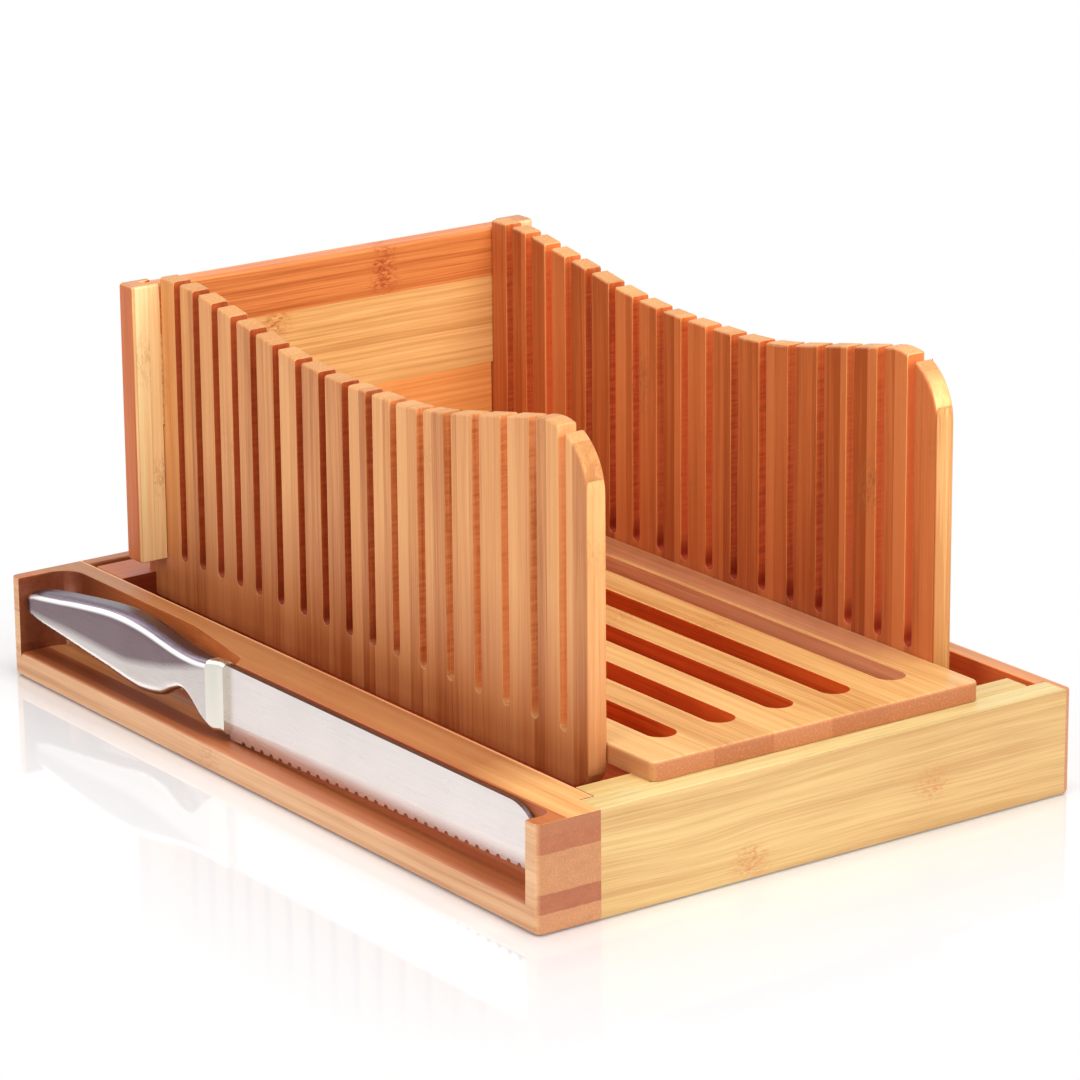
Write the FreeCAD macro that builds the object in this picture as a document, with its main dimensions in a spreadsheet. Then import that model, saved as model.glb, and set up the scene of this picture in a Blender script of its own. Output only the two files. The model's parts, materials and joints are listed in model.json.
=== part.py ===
import FreeCAD, Part
import math
import os
import re
import Sketcher
from FreeCAD import Rotation, Vector

# A bread slicer guide in bamboo: an open tray that catches the crumbs and has a pocket along its left
# side for the knife, a lift-out rack with a slatted board between two slotted guides, a stop panel
# that drops into the guides from above, and the steel bread knife. Millimetres, +Z up, the front
# towards -Y. The origin is the middle of the tray's underside.

doc = FreeCAD.newDocument("BreadSlicerGuide")
sheet = doc.addObject("Spreadsheet::Sheet", "Sizes")

# Driving dimensions. "Along" is measured from the tray's front, "Across" from its left side and
# "Rise" from the table.
sizes = {
    "trayWidth": 243,
    "trayLength": 360,
    "trayHeight": 41,
    "trayCorner": 2.8,
    "trayFoot": 1.5,
    "pocketWallWidth": 12.7,
    "knifeBlockWidth": 33,
    "pocketDepth": 11.7,
    "pocketFloorRise": 10,
    "pocketFrontAlong": 7.5,
    "pocketCorner": 5,
    "pocketLip": 2,
    "gripRecessDepth": 11.5,
    "gripRecessAlong": 211.5,
    "gripRecessStep": 4.5,
    "gripRecessRun": 48.5,
    "gripRecessBend": 8,
    "gripRecessCorner": 10,
    "frontRailWidth": 12.3,
    "sideRailWidth": 7,
    "backRailWidth": 6,
    "blockRabbet": 6,
    "sideRabbet": 4,
    "floorThickness": 4,
    "floorRise": 2,
    "grooveDepth": 3,
    "rackGap": 0.3,
    "battenLength": 198.7,
    "frontBattenBack": 24,
    "rearBattenAlong": 329,
    "rearBattenWidth": 20,
    "battenEdge": 0.8,
    "boardAcross": 57.3,
    "boardAlong": 10,
    "boardLength": 339,
    "boardThickness": 7.5,
    "boardCorner": 4,
    "boardEdge": 1.2,
    "crumbSlotCount": 5,
    "crumbSlotWidth": 11.7,
    "crumbSlotBar": 14.7,
    "crumbSlotMargin": 16.25,
    "crumbSlotAlong": 29.8,
    "crumbSlotLength": 282.2,
    "guideThickness": 8.4,
    "guideAlong": 37,
    "guideLength": 297.5,
    "guideRise": 31,
    "guideEdge": 1.2,
    "frontFoot": 10,
    "rearFoot": 8,
    "frontCrest": 132.5,
    "frontCrestRadius": 24,
    "frontHollowRadius": 215,
    "frontHollowAlong": 124,
    "hollow": 117.5,
    "rearHollowAlong": 148,
    "rearHollowRadius": 320,
    "rearCrestRadius": 160,
    "rearCrestAlong": 277,
    "rearCrest": 132.8,
    "rearCorner": 15,
    "knifeSlotWidth": 4.4,
    "knifeSlotRise": 50.5,
    "knifeSlotRearAlong": 307,
    "thinSlotCount": 5,
    "mediumSlotCount": 6,
    "thickSlotCount": 6,
    "thinSlice": 13.6,
    "mediumSlice": 15.8,
    "thickSlice": 17.6,
    "panelAlong": 319.5,
    "panelThickness": 10,
    "panelRise": 48.8,
    "panelTop": 160.5,
    "lapRise": 104,
    "upperStaveHeight": 20,
    "cleatWidth": 12.5,
    "cleatTop": 161.5,
    "panelEdge": 1.5,
    "tongueLength": 5,
    "tongueThickness": 4,
    "dowelDiameter": 4,
    "dowelInGuide": 5,
    "dowelInBoard": 12,
    "guideDowelAlong": 60,
    "guideDowelPitch": 74,
    "battenDowelDiameter": 6,
    "dowelInBatten": 20,
    "battenDowelInBoard": 5,
    "battenDowelPitch": 52.8,
    "knifeAcross": 10,
    "bladeTipAlong": 10.5,
    "bladeTipRise": 17,
    "bladeLength": 202.5,
    "bladeThickness": 2,
    "bladeHeelWidth": 29.5,
    "bladeTipWidth": 23.5,
    "bladeTipRadius": 18,
    "bladeToeRadius": 3,
    "bladeTilt": 1.8,
    "grindHeight": 7,
    "edgeThickness": 0.5,
    "toothPitch": 6.4,
    "toothCount": 29,
    "toothRadius": 1.25,
    "firstToothAlong": 14,
    "tangLength": 40,
    "tangWidth": 12,
    "tangRise": 11,
    "bolsterLength": 21,
    "collarLength": 3,
    "gripCorner": 0.36,
    "handleShell": 1.4,
}

# Sections of the knife's grip, from the bolster's front to the butt. Each is a rounded rectangle:
# how far behind the bolster's front it stands, how high its middle is, and its height and
# thickness. Its corner radius is the thickness times gripCorner.
gripSections = {
    "collar": (3, 26.9, 28, 6),
    "heel": (8, 26.2, 30.4, 9.4),
    "neck": (17, 28.4, 28.2, 12.8),
    "waist": (27, 32.2, 23.4, 14.6),
    "shoulder": (44, 31, 28.6, 16.4),
    "belly": (70, 28.4, 36, 19.2),
    "taper": (100, 29.1, 29.8, 18.2),
    "tail": (124, 28.1, 21.6, 15.6),
    "cap": (136.5, 27.3, 16.2, 12.4),
    "butt": (140.2, 27.1, 10.6, 8),
}
for section, (along, rise, height, thickness) in gripSections.items():
    sizes[section + "Along"] = along
    sizes[section + "Rise"] = rise
    sizes[section + "Height"] = height
    sizes[section + "Thickness"] = thickness

for row, (name, number) in enumerate(sizes.items(), start=1):
    sheet.set("A%d" % row, name)
    sheet.set("B%d" % row, str(number))
    sheet.setAlias("B%d" % row, name)
doc.recompute()

# Places that several pieces share, as formulas in the sheet's names.
leftSide = "-trayWidth / 2"
front = "-trayLength / 2"
boardWidth = "2 * crumbSlotMargin + crumbSlotCount * crumbSlotWidth + (crumbSlotCount - 1) * crumbSlotBar"
floorTop = "floorRise + floorThickness"
battenRise = floorTop + " + rackGap"
battenHeight = "trayHeight - (" + battenRise + ")"
rackLeft = "knifeBlockWidth + rackGap"
frontBattenAlong = "frontRailWidth + rackGap"
leftGuideAcross = "boardAcross - guideThickness"
rightGuideAcross = "boardAcross + " + boardWidth
guideDowelRise = "trayHeight + boardThickness / 2"
battenDowelAlongs = [
    "(" + frontBattenAlong + " + frontBattenBack) / 2",
    "rearBattenAlong + rearBattenWidth / 2",
]
tongueStart = "(panelThickness - tongueThickness) / 2"
tongueEnd = "(panelThickness + tongueThickness) / 2"
staveAcross = leftGuideAcross + " - rackGap"
staveWidth = boardWidth + " + 2 * guideThickness + 2 * rackGap"
bolsterAlong = "bladeTipAlong + bladeLength"

subParts = []


def bound(formula):
    """The formula with each of the sheet's names written as the sheet's property."""
    return re.sub(r"[A-Za-z]+", lambda word: "Sizes." + word.group(), formula)


def value(formula):
    return float(sheet.evalExpression(bound(formula)))


def bind(item, name, formula):
    item.setExpression(name, bound(formula))


def place(item, across, along, rise):
    """Puts an item at a distance from the tray's left side, front and underside."""
    bind(item, "Placement.Base.x", leftSide + " + " + across)
    bind(item, "Placement.Base.y", front + " + " + along)
    bind(item, "Placement.Base.z", rise)


def newBody(name):
    body = doc.addObject("PartDesign::Body", name)
    body.Label = name
    subParts.append(body)
    return body


def newSketch(body, name, plane, offset="0"):
    sketch = body.newObject("Sketcher::SketchObject", name)
    support = [item for item in body.Origin.OriginFeatures if item.Role == plane][0]
    sketch.AttachmentSupport = [(support, "")]
    sketch.MapMode = "FlatFace"
    bind(sketch, "AttachmentOffset.Base.z", offset)
    return sketch


def dimension(sketch, kind, places, formula):
    index = sketch.addConstraint(Sketcher.Constraint(kind, *places, value(formula)))
    bind(sketch, "Constraints[%d]" % index, formula)


def polygon(sketch, corners):
    """A closed outline through corners that are given as pairs of formulas."""
    points = [Vector(value(x), value(y), 0) for x, y in corners]
    first = sketch.GeometryCount
    lines = range(first, first + len(points))
    for start, end in zip(points, points[1:] + points[:1]):
        sketch.addGeometry(Part.LineSegment(start, end), False)
    for line, following in zip(lines, [*lines[1:], first]):
        sketch.addConstraint(Sketcher.Constraint("Coincident", line, 2, following, 1))
    for line, (x, y) in zip(lines, corners):
        dimension(sketch, "DistanceX", (-1, 1, line, 1), x)
        dimension(sketch, "DistanceY", (-1, 1, line, 1), y)


def rectangle(sketch, left, bottom, right, top):
    polygon(sketch, [(left, bottom), (right, bottom), (right, top), (left, top)])


def circle(sketch, x, y, diameter):
    ring = Part.Circle(Vector(value(x), value(y), 0), Vector(0, 0, 1), value(diameter) / 2)
    index = sketch.addGeometry(ring, False)
    dimension(sketch, "DistanceX", (-1, 1, index, 3), x)
    dimension(sketch, "DistanceY", (-1, 1, index, 3), y)
    dimension(sketch, "Diameter", (index,), diameter)


def slot(sketch, middle, start, end, width):
    """A slot with round ends, its length along the sketch's second axis."""
    x = value(middle)
    radius = value(width) / 2
    low = value(start) + radius
    high = value(end) - radius
    up = Vector(0, 0, 1)
    lower = Part.Circle(Vector(x, low, 0), up, radius)
    upper = Part.Circle(Vector(x, high, 0), up, radius)
    first = sketch.GeometryCount
    sketch.addGeometry(Part.ArcOfCircle(lower, math.pi, 2 * math.pi), False)
    sketch.addGeometry(Part.LineSegment(Vector(x + radius, low, 0), Vector(x + radius, high, 0)), False)
    sketch.addGeometry(Part.ArcOfCircle(upper, 0, math.pi), False)
    sketch.addGeometry(Part.LineSegment(Vector(x - radius, high, 0), Vector(x - radius, low, 0)), False)
    sides = range(first, first + 4)
    for side, following in zip(sides, [*sides[1:], first]):
        sketch.addConstraint(Sketcher.Constraint("Tangent", side, 2, following, 1))
    for side in (first + 1, first + 3):
        sketch.addConstraint(Sketcher.Constraint("Vertical", side))
    dimension(sketch, "Radius", (first,), width + " / 2")
    dimension(sketch, "DistanceX", (-1, 1, first, 3), middle)
    dimension(sketch, "DistanceY", (-1, 1, first, 3), start + " + (" + width + ") / 2")
    dimension(sketch, "DistanceY", (-1, 1, first + 2, 3), end + " - (" + width + ") / 2")


def pad(body, sketch, length, reverse=False):
    feature = body.newObject("PartDesign::Pad", sketch.Name + "Pad")
    feature.Profile = sketch
    feature.Reversed = reverse
    bind(feature, "Length", length)
    doc.recompute()
    return feature


def pocket(body, sketch, length=None, reverse=False):
    """Cuts a sketch into the body, to a length or right through both ways, and sees that it cut."""
    before = body.Shape.Volume
    feature = body.newObject("PartDesign::Pocket", sketch.Name + "Pocket")
    feature.Profile = sketch
    feature.Reversed = reverse
    if length is None:
        feature.Type = "ThroughAll"
        feature.Midplane = True
    else:
        bind(feature, "Length", length)
    doc.recompute()
    if not body.Shape.Volume < before - 0.01:
        raise ValueError("nothing cut by " + feature.Name)
    return feature


def linePattern(body, feature, axis, count, pitch, reverse=False):
    pattern = body.newObject("PartDesign::LinearPattern", feature.Name + "Row")
    pattern.Originals = [feature]
    direction = [item for item in body.Origin.OriginFeatures if item.Role == axis][0]
    pattern.Direction = (direction, [""])
    pattern.Reversed = reverse
    bind(pattern, "Occurrences", count)
    bind(pattern, "Length", "(" + count + " - 1) * (" + pitch + ")")
    body.Tip = pattern
    doc.recompute()
    return pattern


def roundEdges(body, name, radius, chosen):
    """Rounds the edges of the body's last feature whose bounds the test picks."""
    base = body.Tip
    edges = enumerate(base.Shape.Edges, start=1)
    picked = ["Edge%d" % index for index, edge in edges if chosen(edge.BoundBox)]
    if not picked:
        raise ValueError("no edge for " + name)
    feature = body.newObject("PartDesign::Fillet", name)
    feature.Base = (base, picked)
    bind(feature, "Radius", radius)
    doc.recompute()
    if "Invalid" in feature.State:
        raise ValueError(name + " failed")
    return feature


def upright(box, x, y):
    """Whether an edge stands straight up at x, y."""
    offsets = (box.XMin - x, box.XMax - x, box.YMin - y, box.YMax - y)
    return box.ZLength > 1 and max(abs(offset) for offset in offsets) < 0.01


def level(box, rise):
    return box.ZLength < 0.01 and abs(box.ZMin - rise) < 0.01


# The tray.

def makeKnifeWall():
    """The outer half of the knife block, milled out from the left to hold the knife."""
    body = newBody("knife_wall")
    place(body, "0", "0", "0")
    plan = newSketch(body, "wallPlan", "XY_Plane")
    rectangle(plan, "0", "0", "pocketWallWidth", "trayLength")
    pad(body, plan, "trayHeight")
    backEnd = "trayLength - backRailWidth"
    opening = newSketch(body, "wallOpening", "XY_Plane", "pocketFloorRise")
    rectangle(opening, "-1", "pocketFrontAlong", "pocketDepth", backEnd)
    pocket(body, opening, "trayHeight", reverse=True)
    inner = (value("pocketDepth"), value("pocketFrontAlong"))
    roundEdges(body, "pocketCornerRound", "pocketCorner", lambda box: upright(box, *inner))
    grip = newSketch(body, "wallGrip", "XY_Plane", "pocketFloorRise")
    rectangle(grip, "pocketDepth - 1", "gripRecessAlong", "pocketWallWidth + 1", backEnd)
    pocket(body, grip, "trayHeight", reverse=True)
    long = value("trayLength")
    roundEdges(body, "wallCorners", "trayCorner", lambda box: upright(box, 0, 0) or upright(box, 0, long))
    seam = value("pocketWallWidth") - 0.01
    roundEdges(body, "wallFoot", "trayFoot", lambda box: level(box, 0) and box.XMin < seam)
    lip = value("pocketFloorRise")
    roundEdges(body, "wallLip", "pocketLip", lambda box: level(box, lip) and box.XMax < 0.01)


def makePartition():
    """The inner half of the knife block, with the hollow behind the knife's grip."""
    body = newBody("partition_wall")
    place(body, "pocketWallWidth", "0", "0")
    width = "knifeBlockWidth - pocketWallWidth"
    plan = newSketch(body, "partitionPlan", "XY_Plane")
    rectangle(plan, "0", "0", width, "trayLength")
    pad(body, plan, "trayHeight")
    rabbet = newSketch(body, "partitionRabbet", "XY_Plane")
    rectangle(rabbet, width + " - blockRabbet", "-1", width + " + 1", "frontRailWidth")
    pocket(body, rabbet)
    groove = newSketch(body, "partitionGroove", "XY_Plane", "floorRise")
    inside = width + " - grooveDepth"
    grooveEnd = "trayLength - backRailWidth + grooveDepth"
    rectangle(groove, inside, "frontRailWidth - 1", width + " + 1", grooveEnd)
    pocket(body, groove, "floorThickness", reverse=True)
    recess = newSketch(body, "partitionRecess", "XY_Plane", "pocketFloorRise")
    recessStep = "gripRecessAlong + gripRecessStep"
    recessFull = "gripRecessAlong + gripRecessRun"
    recessEnd = "trayLength - backRailWidth"
    polygon(recess, [
        ("-1", "gripRecessAlong"),
        ("0", "gripRecessAlong"),
        ("gripRecessStep", recessStep),
        ("gripRecessDepth", recessFull),
        ("gripRecessDepth", recessEnd),
        ("-1", recessEnd),
    ])
    pocket(body, recess, "trayHeight", reverse=True)
    deep = value("gripRecessDepth")
    bends = [(value("gripRecessStep"), value(recessStep)), (deep, value(recessFull))]

    def atBend(box):
        return any(upright(box, *bend) for bend in bends)

    roundEdges(body, "recessBends", "gripRecessBend", atBend)
    corner = (deep, value(recessEnd))
    roundEdges(body, "recessCorner", "gripRecessCorner", lambda box: upright(box, *corner))
    roundFoot(body)


def roundFoot(body):
    """Rounds a wall's lower edges that lie in the tray's front or back face."""
    half = value("trayLength") / 2
    shift = body.Placement.Base.y
    ends = (-half - shift, half - shift)

    def faced(box):
        return level(box, 0) and any(abs(box.YMin - end) + abs(box.YMax - end) < 0.01 for end in ends)

    roundEdges(body, body.Name + "Foot", "trayFoot", faced)


def makeFrontRail():
    body = newBody("front_rail")
    place(body, "knifeBlockWidth - blockRabbet", "0", "0")
    length = "trayWidth - knifeBlockWidth + blockRabbet - sideRailWidth + sideRabbet"
    plan = newSketch(body, "frontRailPlan", "XY_Plane")
    rectangle(plan, "0", "0", length, "frontRailWidth")
    pad(body, plan, "trayHeight")
    groove = newSketch(body, "frontRailGroove", "XY_Plane", "floorRise")
    grooveStart = "blockRabbet - grooveDepth"
    grooveEnd = length + " - sideRabbet + grooveDepth"
    rectangle(groove, grooveStart, "frontRailWidth - grooveDepth", grooveEnd, "frontRailWidth + 1")
    pocket(body, groove, "floorThickness", reverse=True)
    roundFoot(body)


def makeRightRail():
    body = newBody("right_rail")
    place(body, "trayWidth - sideRailWidth", "0", "0")
    plan = newSketch(body, "rightRailPlan", "XY_Plane")
    rectangle(plan, "0", "0", "sideRailWidth", "trayLength")
    pad(body, plan, "trayHeight")
    rabbet = newSketch(body, "rightRailRabbet", "XY_Plane")
    rectangle(rabbet, "-1", "-1", "sideRabbet", "frontRailWidth")
    pocket(body, rabbet)
    groove = newSketch(body, "rightRailGroove", "XY_Plane", "floorRise")
    rectangle(groove, "-1", "frontRailWidth - 1", "grooveDepth", "trayLength - backRailWidth + grooveDepth")
    pocket(body, groove, "floorThickness", reverse=True)
    wide = value("sideRailWidth")
    long = value("trayLength")
    rabbetEdge = value("sideRabbet") + 0.01

    def atCorner(box):
        return upright(box, wide, 0) or upright(box, wide, long)

    def outside(box):
        return level(box, 0) and (box.XMin > rabbetEdge or box.YMax < 0.01 or box.YMin > long - 0.01)

    roundEdges(body, "railCorners", "trayCorner", atCorner)
    roundEdges(body, "railFoot", "trayFoot", outside)


def makeBackRail():
    body = newBody("back_rail")
    place(body, "knifeBlockWidth", "trayLength - backRailWidth", "0")
    length = "trayWidth - knifeBlockWidth - sideRailWidth"
    plan = newSketch(body, "backRailPlan", "XY_Plane")
    rectangle(plan, "0", "0", length, "backRailWidth")
    pad(body, plan, "trayHeight")
    groove = newSketch(body, "backRailGroove", "XY_Plane", "floorRise")
    rectangle(groove, "-1", "-1", length + " + 1", "grooveDepth")
    pocket(body, groove, "floorThickness", reverse=True)
    roundFoot(body)


def makeFloor():
    """The thin floor, let into grooves all round."""
    panel = doc.addObject("Part::Box", "tray_floor")
    panel.Label = "tray_floor"
    bind(panel, "Length", "trayWidth - knifeBlockWidth - sideRailWidth + 2 * grooveDepth")
    bind(panel, "Width", "trayLength - frontRailWidth - backRailWidth + 2 * grooveDepth")
    bind(panel, "Height", "floorThickness")
    place(panel, "knifeBlockWidth - grooveDepth", "frontRailWidth - grooveDepth", "floorRise")
    subParts.append(panel)


# The rack: two battens that stand on the tray's floor, the slatted board on them and the two guides.

def dowelAcross(index):
    """Where a batten dowel stands: three in a row about the board's middle."""
    return "boardAcross + (" + boardWidth + ") / 2 + %d * battenDowelPitch" % (index - 1)


def makeBatten(name, along, width):
    body = newBody(name)
    place(body, rackLeft, along, battenRise)
    plan = newSketch(body, name + "Plan", "XY_Plane")
    rectangle(plan, "0", "0", "battenLength", width)
    pad(body, plan, battenHeight)
    bores = newSketch(body, name + "Bores", "XY_Plane", battenHeight)
    for index in range(3):
        across = dowelAcross(index) + " - (" + rackLeft + ")"
        circle(bores, across, "(" + width + ") / 2", "battenDowelDiameter")
    pocket(body, bores, "dowelInBatten")
    return body


def makeFrontBatten():
    body = makeBatten("front_batten", frontBattenAlong, "frontBattenBack - (" + frontBattenAlong + ")")
    top = value(battenHeight)
    wide = body.Tip.Shape.BoundBox.YMax
    roundEdges(body, "frontBattenEdge", "battenEdge", lambda box: level(box, top) and box.XLength > wide)


def makeRearBatten():
    """The rear batten, housed at its front edge for the guides' lower corners."""
    body = makeBatten("rear_batten", "rearBattenAlong", "rearBattenWidth")
    housings = newSketch(body, "rearBattenHousings", "XY_Plane", "guideRise - (" + battenRise + ")")
    housingEnd = "guideAlong + guideLength - rearBattenAlong"
    for across in (leftGuideAcross, rightGuideAcross):
        start = across + " - (" + rackLeft + ")"
        rectangle(housings, start, "-1", start + " + guideThickness", housingEnd)
    pocket(body, housings, "trayHeight", reverse=True)


def makeBoard():
    """The slatted board: crumbs fall through its five long slots."""
    body = newBody("slatted_board")
    place(body, "boardAcross", "boardAlong", "trayHeight")
    plan = newSketch(body, "boardPlan", "XY_Plane")
    rectangle(plan, "0", "0", boardWidth, "boardLength")
    pad(body, plan, "boardThickness")
    wide = value(boardWidth)
    corners = [(x, y) for x in (0, wide) for y in (0, value("boardLength"))]
    top = value("boardThickness")

    def atCorner(box):
        return any(upright(box, *corner) for corner in corners)

    roundEdges(body, "boardCorners", "boardCorner", atCorner)
    roundEdges(body, "boardEdges", "boardEdge", lambda box: level(box, top))
    crumbs = newSketch(body, "crumbSlot", "XY_Plane")
    slotStart = "crumbSlotAlong - boardAlong"
    middle = "crumbSlotMargin + crumbSlotWidth / 2"
    slot(crumbs, middle, slotStart, slotStart + " + crumbSlotLength", "crumbSlotWidth")
    cut = pocket(body, crumbs)
    linePattern(body, cut, "X_Axis", "crumbSlotCount", "crumbSlotWidth + crumbSlotBar")
    under = newSketch(body, "boardBattenBores", "XY_Plane")
    for along in battenDowelAlongs:
        for index in range(3):
            across = dowelAcross(index) + " - boardAcross"
            circle(under, across, along + " - boardAlong", "battenDowelDiameter")
    pocket(body, under, "battenDowelInBoard", reverse=True)
    sides = [("leftBores", "dowelInBoard", False), ("rightBores", boardWidth + " - dowelInBoard", True)]
    for name, depth, reverse in sides:
        bores = newSketch(body, name, "YZ_Plane", depth)
        for index in range(4):
            along = "guideDowelAlong + %d * guideDowelPitch - boardAlong" % index
            circle(bores, along, "boardThickness / 2", "dowelDiameter")
        pocket(body, bores, "dowelInBoard", reverse=reverse)


def crossTangent(low, lowRadius, high, highRadius):
    """The slope of the line that runs over the low circle and under the high one, in radians."""
    offset = high - low
    distance = math.hypot(offset.x, offset.y)
    return math.atan2(abs(offset.x), offset.y) - math.acos((lowRadius + highRadius) / distance)


def guideOutline(sketch):
    """A guide's side view: rounded feet, a crest at either end and a long hollow between them."""
    names = ("rearFoot", "rearCorner", "rearCrestRadius", "rearHollowRadius")
    names += ("frontHollowRadius", "frontCrestRadius", "frontFoot")
    radii = [value(name) for name in names]
    rearFoot, rearCorner, rearCrest, rearHollow, frontHollow, frontCrest, frontFoot = radii
    length = value("guideLength")
    rearTop = value("rearCrest")
    hollow = value("hollow")
    centres = [
        Vector(length - rearFoot, rearFoot, 0),
        Vector(length - rearCorner, rearTop - rearCorner, 0),
        Vector(value("rearCrestAlong"), rearTop - rearCrest, 0),
        Vector(value("rearHollowAlong"), hollow + rearHollow, 0),
        Vector(value("frontHollowAlong"), hollow + frontHollow, 0),
        Vector(frontCrest, value("frontCrest") - frontCrest, 0),
        Vector(frontFoot, frontFoot, 0),
    ]
    rearSlope = crossTangent(centres[2], rearCrest, centres[3], rearHollow)
    frontSlope = crossTangent(centres[5], frontCrest, centres[4], frontHollow)
    down = -math.pi / 2
    up = math.pi / 2
    sweeps = [
        (down, 0),
        (0, up),
        (up, up + rearSlope),
        (down, down + rearSlope),
        (down - frontSlope, down),
        (up - frontSlope, math.pi),
        (math.pi, math.pi - down),
    ]
    hollows = (3, 4)
    arcs = []
    for centre, radius, sweep in zip(centres, radii, sweeps):
        arcs.append(Part.ArcOfCircle(Part.Circle(centre, Vector(0, 0, 1), radius), *sweep))
    entries = [arc.EndPoint if index in hollows else arc.StartPoint for index, arc in enumerate(arcs)]
    exits = [arc.StartPoint if index in hollows else arc.EndPoint for index, arc in enumerate(arcs)]
    for index, arc in enumerate(arcs):
        sketch.addGeometry(Part.LineSegment(exits[index - 1], entries[index]), False)
        sketch.addGeometry(arc, False)
    for index in range(len(arcs)):
        line = 2 * index
        arc = line + 1
        nextLine = (line + 2) % (2 * len(arcs))
        enter, leave = (2, 1) if index in hollows else (1, 2)
        sketch.addConstraint(Sketcher.Constraint("Tangent", line, 2, arc, enter))
        sketch.addConstraint(Sketcher.Constraint("Tangent", arc, leave, nextLine, 1))
        dimension(sketch, "Radius", (arc,), names[index])
    for line in (0, 4, 8):
        sketch.addConstraint(Sketcher.Constraint("Horizontal", line))
    for line in (2, 12):
        sketch.addConstraint(Sketcher.Constraint("Vertical", line))
    dimension(sketch, "DistanceX", (-1, 1, 13, 3), "frontFoot")
    dimension(sketch, "DistanceY", (-1, 1, 13, 3), "frontFoot")
    dimension(sketch, "DistanceX", (-1, 1, 1, 3), "guideLength - rearFoot")
    dimension(sketch, "DistanceY", (-1, 1, 3, 3), "rearCrest - rearCorner")
    dimension(sketch, "DistanceX", (-1, 1, 5, 3), "rearCrestAlong")
    dimension(sketch, "DistanceX", (-1, 1, 7, 3), "rearHollowAlong")
    dimension(sketch, "DistanceY", (-1, 1, 7, 3), "hollow + rearHollowRadius")
    dimension(sketch, "DistanceX", (-1, 1, 9, 3), "frontHollowAlong")
    dimension(sketch, "DistanceY", (-1, 1, 11, 3), "frontCrest - frontCrestRadius")


def makeGuide(name, across, boreFace, boreReverse):
    """A guide: knife slots in three spacings, and a lap at the back for the stop panel."""
    body = newBody(name)
    place(body, across, "guideAlong", "guideRise")
    side = newSketch(body, name + "Side", "YZ_Plane")
    guideOutline(side)
    pad(body, side, "guideThickness")
    roundEdges(body, name + "Round", "guideEdge", lambda box: box.XLength < 0.01)
    slotRise = "knifeSlotRise - guideRise"
    slotTop = "rearCrest + knifeSlotWidth"
    along = "knifeSlotRearAlong - guideAlong"
    groups = (("thin", None), ("medium", "thin"), ("thick", "medium"))
    for group, before in groups:
        if before:
            along += " - (" + before + "SlotCount - 1) * " + before + "Slice - " + group + "Slice"
        sawn = newSketch(body, name + group.title() + "Slot", "YZ_Plane")
        slot(sawn, along, slotRise, slotTop, "knifeSlotWidth")
        cut = pocket(body, sawn)
        linePattern(body, cut, "Y_Axis", group + "SlotCount", group + "Slice", reverse=True)
    lap = newSketch(body, name + "Lap", "YZ_Plane")
    lapFront = "panelAlong - rackGap - guideAlong"
    lapBack = "panelAlong + panelThickness + rackGap - guideAlong"
    rectangle(lap, lapFront, "lapRise - rackGap - guideRise", lapBack, slotTop)
    pocket(body, lap)
    bores = newSketch(body, name + "Bores", "YZ_Plane", boreFace)
    for index in range(4):
        along = "guideDowelAlong + %d * guideDowelPitch - guideAlong" % index
        circle(bores, along, guideDowelRise + " - guideRise", "dowelDiameter")
    pocket(body, bores, "dowelInGuide", reverse=boreReverse)


def makeDowels(name, places, diameter, length, axis):
    """A set of dowels: cylinders from the places given, along an axis."""
    pins = []
    for index, spot in enumerate(places):
        pin = doc.addObject("Part::Cylinder", name + "_%d" % index)
        pin.Placement.Rotation = Rotation(Vector(0, 0, 1), axis)
        bind(pin, "Radius", diameter + " / 2")
        bind(pin, "Height", length)
        place(pin, *spot)
        pins.append(pin)
    group = doc.addObject("Part::Compound", name)
    group.Label = name
    group.Links = pins
    subParts.append(group)


def makeRackDowels():
    ends = [leftGuideAcross + " + guideThickness - dowelInGuide", rightGuideAcross + " - dowelInBoard"]
    places = []
    for across in ends:
        for index in range(4):
            places.append((across, "guideDowelAlong + %d * guideDowelPitch" % index, guideDowelRise))
    makeDowels("guide_dowels", places, "dowelDiameter", "dowelInGuide + dowelInBoard", Vector(1, 0, 0))
    places = []
    for along in battenDowelAlongs:
        for index in range(3):
            places.append((dowelAcross(index), along, "trayHeight - dowelInBatten"))
    length = "dowelInBatten + battenDowelInBoard"
    makeDowels("batten_dowels", places, "battenDowelDiameter", length, Vector(0, 0, 1))


# The stop panel: three staves held between two cleats, lapped over the guides.

def makeLongStave(name, rise, height):
    """A stave as wide as the panel, with a tongue at either end."""
    body = newBody(name)
    place(body, staveAcross, "panelAlong", rise)
    plan = newSketch(body, name + "Plan", "XY_Plane")
    wide = staveWidth
    tip = wide + " + tongueLength"
    polygon(plan, [
        ("0", "0"),
        (wide, "0"),
        (wide, tongueStart),
        (tip, tongueStart),
        (tip, tongueEnd),
        (wide, tongueEnd),
        (wide, "panelThickness"),
        ("0", "panelThickness"),
        ("0", tongueEnd),
        ("-tongueLength", tongueEnd),
        ("-tongueLength", tongueStart),
        ("0", tongueStart),
    ])
    pad(body, plan, height)
    return body


def makeStaves():
    upper = makeLongStave("upper_stave", "panelTop - upperStaveHeight", "upperStaveHeight")
    top = value("upperStaveHeight")
    wide = value(staveWidth)

    def topEdge(box):
        return level(box, top) and abs(box.XLength - wide) < 0.01

    roundEdges(upper, "upperStaveRound", "panelEdge", topEdge)
    makeLongStave("middle_stave", "lapRise", "panelTop - upperStaveHeight - lapRise")
    lower = newBody("lower_stave")
    place(lower, "boardAcross + rackGap", "panelAlong", "panelRise")
    plan = newSketch(lower, "lowerStavePlan", "XY_Plane")
    rectangle(plan, "0", "0", boardWidth + " - 2 * rackGap", "panelThickness")
    pad(lower, plan, "lapRise - panelRise")


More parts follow.
